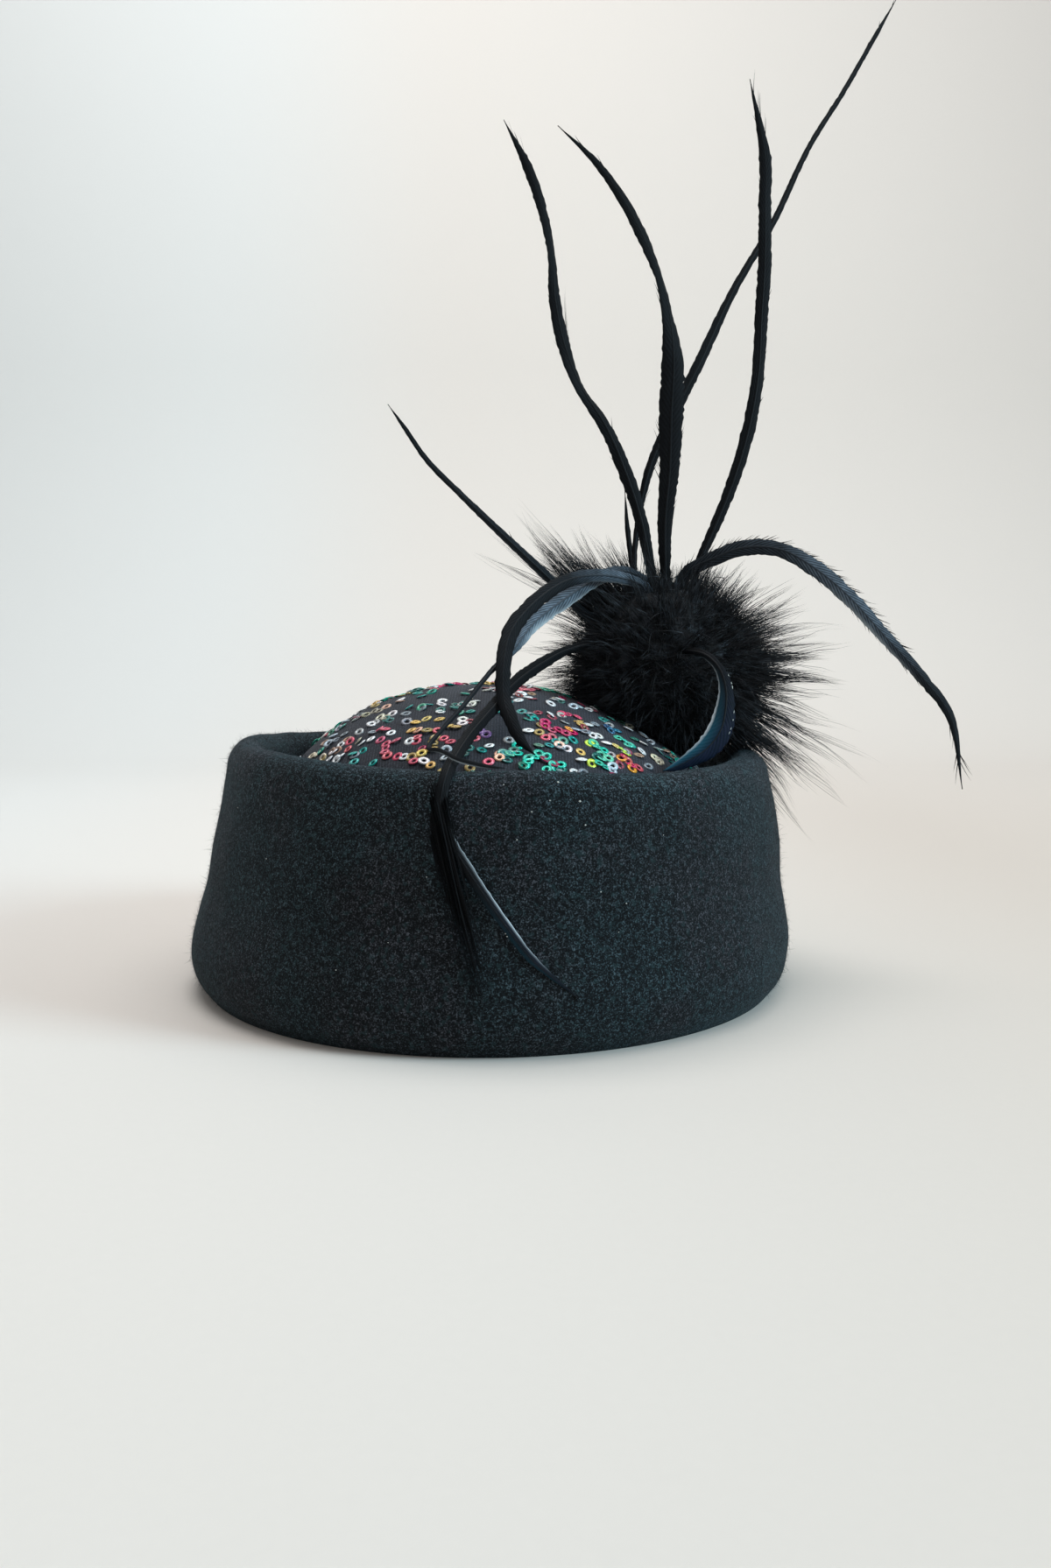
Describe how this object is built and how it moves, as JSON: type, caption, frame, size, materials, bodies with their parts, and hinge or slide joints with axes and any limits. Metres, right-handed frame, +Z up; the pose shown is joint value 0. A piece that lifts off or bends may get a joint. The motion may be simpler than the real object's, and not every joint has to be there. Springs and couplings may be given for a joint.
{
  "type": "pillbox hat",
  "caption": "Oval pillbox hat with a rolled felt band, a domed sequin crown, and a feather puff with curled quills at one side.",
  "frame": {"origin": "on the surface the hat rests on, under the middle of its whole box with the feathers, so the rim's oval is centred 24.5 mm to the left of it", "axes": "+Z up through the crown, -Y to the front of the hat, +X to the side that carries the feathers"},
  "size_m": [0.2428, 0.224, 0.337],
  "materials": {
    "felt": "napped black wool felt, faint grey-green and blue mottle",
    "sequin_cloth": "charcoal knit with ring sequins in white, rose, teal and gold",
    "sequin": "glossy iridescent film rings",
    "marabou": "soft black down",
    "feather": "stripped and curled feather with a blue-steel sheen"
  },
  "bodies": {
    "root": {"felt_band": "felt", "sequin_crown": "sequin_cloth", "feather_puff": "marabou", "quill_tall_left": "feather", "quill_tall_middle": "feather", "quill_tall_right": "feather", "quill_long": "feather", "quill_short": "feather", "quill_low_left": "feather", "curl_left": "feather", "curl_front": "feather", "drape_front": "feather", "droop_right": "feather", "well_curl": "feather"}
  },
  "joints": []
}
